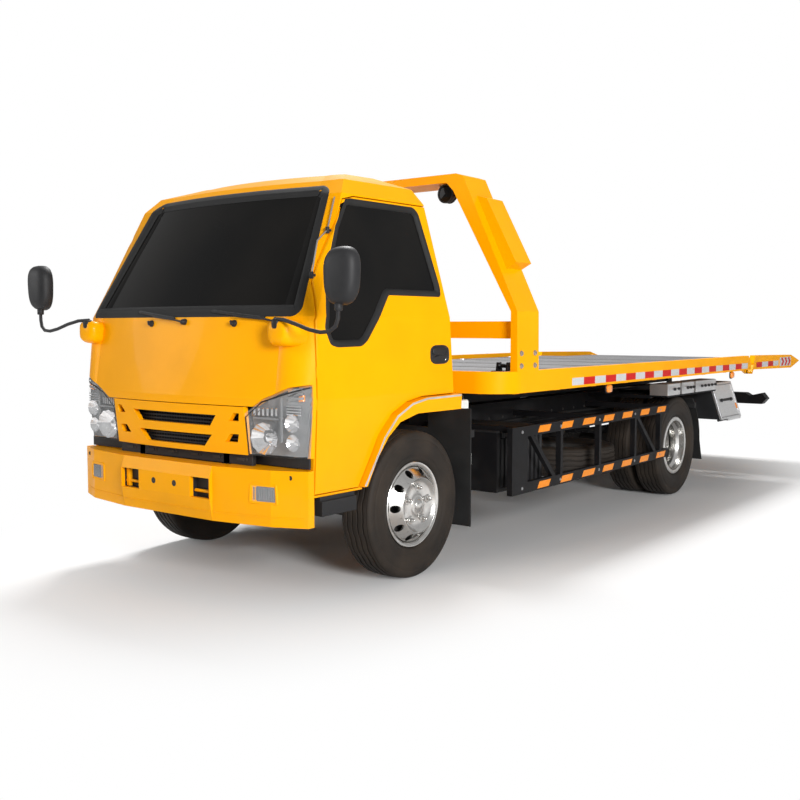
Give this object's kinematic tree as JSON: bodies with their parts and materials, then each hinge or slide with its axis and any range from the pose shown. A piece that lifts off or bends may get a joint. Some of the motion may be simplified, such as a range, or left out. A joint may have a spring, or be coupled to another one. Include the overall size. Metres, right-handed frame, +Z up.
{
  "type": "flatbed tow truck",
  "caption": "Flatbed tow truck with tilting cab, opening doors, steered front wheels, twin rear wheels, a tilting and sliding bed with hinged tail, headboard and rear wheel lift.",
  "frame": {"origin": "centre of the overall box at ground level", "axes": "+Z up, the truck faces -Y, +X is the vehicle's left"},
  "size_m": [2.455, 6.96, 2.19],
  "materials": {
    "body_paint": "gloss paint",
    "frame_paint": "satin paint",
    "dark_glass": "tinted",
    "clear_lens": "clear",
    "tyre_rubber": "worn",
    "alloy": "polished",
    "cast_steel": "dark",
    "bright_steel": "brushed",
    "deck_steel": "chequer plate",
    "trim_plastic": "grained",
    "seat_cloth": "woven",
    "rubber_black": "matt",
    "amber_lens": "moulded lens",
    "red_lens": "moulded lens",
    "white_plastic": "translucent"
  },
  "bodies": {
    "chassis": {"chassis_frame": "frame_paint", "axles": "cast_steel", "leaf_springs": "frame_paint", "engine_block": "cast_steel", "drive_shaft": "cast_steel", "exhaust": "frame_paint", "side_boxes": "trim_plastic", "spare_wheel": "frame_paint", "side_guards": "frame_paint", "mud_flaps": "rubber_black", "coolant_bottle": "white_plastic", "bumper": "body_paint", "fog_lamps": "clear_lens", "subframe": "frame_paint", "control_boxes": "trim_plastic", "lever_boxes": "bright_steel", "tail_lamps": "red_lens"},
    "cab": {"cab_shell": "body_paint", "arch_flares": "body_paint", "cab_hinges": "frame_paint", "cab_roof": "body_paint", "front_panel": "body_paint", "grille": "body_paint", "headlamps": "clear_lens", "cab_glass": "dark_glass", "seats": "seat_cloth", "dashboard": "trim_plastic", "mirrors": "trim_plastic", "cab_steps": "frame_paint"},
    "door_left": {"door_left": "body_paint", "door_glass_left": "dark_glass"},
    "knuckle_left": {"knuckle_left": "cast_steel"},
    "front_wheel_left": {"front_rim_left": "alloy", "front_tyre_left": "tyre_rubber"},
    "rear_wheel_left": {"rear_rims_left": "alloy", "rear_tyres_left": "tyre_rubber"},
    "box_lid_left": {"box_lid_left": "bright_steel"},
    "door_right": {"door_right": "body_paint", "door_glass_right": "dark_glass"},
    "knuckle_right": {"knuckle_right": "cast_steel"},
    "front_wheel_right": {"front_rim_right": "alloy", "front_tyre_right": "tyre_rubber"},
    "rear_wheel_right": {"rear_rims_right": "alloy", "rear_tyres_right": "tyre_rubber"},
    "box_lid_right": {"box_lid_right": "bright_steel"},
    "tilt_frame": {"tilt_frame": "frame_paint", "slide_barrel": "bright_steel"},
    "tilt_barrels": {"tilt_barrels": "frame_paint"},
    "tilt_rams": {"tilt_rams": "bright_steel"},
    "bed": {"bed_frame": "body_paint", "bed_deck": "deck_steel", "headboard": "body_paint", "winch": "frame_paint", "bed_lamps": "amber_lens", "slide_rod": "bright_steel"},
    "tail": {"tail_frame": "body_paint", "tail_deck": "deck_steel"},
    "boom": {"boom": "frame_paint"},
    "boom_slide": {"boom_slide": "frame_paint"}
  },
  "joints": [
    {"name": "cab_tilt", "type": "hinge", "parent": "chassis", "child": "cab", "pos_m": [0, -3.33, 0.7], "axis": [1, 0, 0], "range_deg": [0, 45]},
    {"name": "door_left_open", "type": "hinge", "parent": "cab", "child": "door_left", "pos_m": [0.843, -3.27404, 1], "axis": [0, 0, -1], "range_deg": [0, 70]},
    {"name": "door_right_open", "type": "hinge", "parent": "cab", "child": "door_right", "pos_m": [-0.843, -3.27404, 1], "axis": [0, 0, 1], "range_deg": [0, 70]},
    {"name": "steer_left", "type": "hinge", "parent": "chassis", "child": "knuckle_left", "pos_m": [0.68, -2.53, 0.3875], "axis": [0, 0, 1], "range_deg": [-35, 35]},
    {"name": "steer_right", "type": "hinge", "parent": "chassis", "child": "knuckle_right", "pos_m": [-0.68, -2.53, 0.3875], "axis": [0, 0, 1], "range_deg": [-35, 35]},
    {"name": "wheel_front_left_spin", "type": "hinge", "parent": "knuckle_left", "child": "front_wheel_left", "pos_m": [0.765, -2.53, 0.3875], "axis": [1, 0, 0], "continuous": true},
    {"name": "wheel_front_right_spin", "type": "hinge", "parent": "knuckle_right", "child": "front_wheel_right", "pos_m": [-0.765, -2.53, 0.3875], "axis": [1, 0, 0], "continuous": true},
    {"name": "wheel_rear_left_spin", "type": "hinge", "parent": "chassis", "child": "rear_wheel_left", "pos_m": [0.7025, 0.83, 0.3875], "axis": [1, 0, 0], "continuous": true},
    {"name": "wheel_rear_right_spin", "type": "hinge", "parent": "chassis", "child": "rear_wheel_right", "pos_m": [-0.7025, 0.83, 0.3875], "axis": [1, 0, 0], "continuous": true},
    {"name": "bed_tilt", "type": "hinge", "parent": "chassis", "child": "tilt_frame", "pos_m": [0, 2.02, 0.77], "axis": [-1, 0, 0], "range_deg": [0, 10]},
    {"name": "bed_slide", "type": "slide", "parent": "tilt_frame", "child": "bed", "axis": [0, 1, 0], "range_m": [0, 2.25]},
    {"name": "tail_drop", "type": "hinge", "parent": "bed", "child": "tail", "pos_m": [0, 2.092, 0.928], "axis": [-1, 0, 0], "range_deg": [0, 11]},
    {"name": "barrel_swing", "type": "hinge", "parent": "chassis", "child": "tilt_barrels", "pos_m": [0, -1.08, 0.665], "axis": [1, 0, 0], "range_deg": [0, 20]},
    {"name": "ram_extend", "type": "slide", "parent": "tilt_barrels", "child": "tilt_rams", "axis": [0, 0.9795, 0.2013], "range_m": [0, 0.19]},
    {"name": "boom_lower", "type": "hinge", "parent": "chassis", "child": "boom", "pos_m": [0, 1.77, 0.625], "axis": [-1, 0, 0], "range_deg": [0, 16]},
    {"name": "boom_extend", "type": "slide", "parent": "boom", "child": "boom_slide", "axis": [0, 1, 0], "range_m": [0, 0.5]},
    {"name": "lid_left_open", "type": "hinge", "parent": "chassis", "child": "box_lid_left", "pos_m": [1.012, 1.67, 0.539], "axis": [0, 1, 0], "range_deg": [0, 110]},
    {"name": "lid_right_open", "type": "hinge", "parent": "chassis", "child": "box_lid_right", "pos_m": [-1.012, 1.67, 0.539], "axis": [0, -1, 0], "range_deg": [0, 110]}
  ],
  "couplings": [
    {"joint": "steer_right", "follows": "steer_left", "ratio": 1},
    {"joint": "barrel_swing", "follows": "bed_tilt", "ratio": 1.9233},
    {"joint": "ram_extend", "follows": "bed_tilt", "m_per_rad": 1.0577}
  ]
}
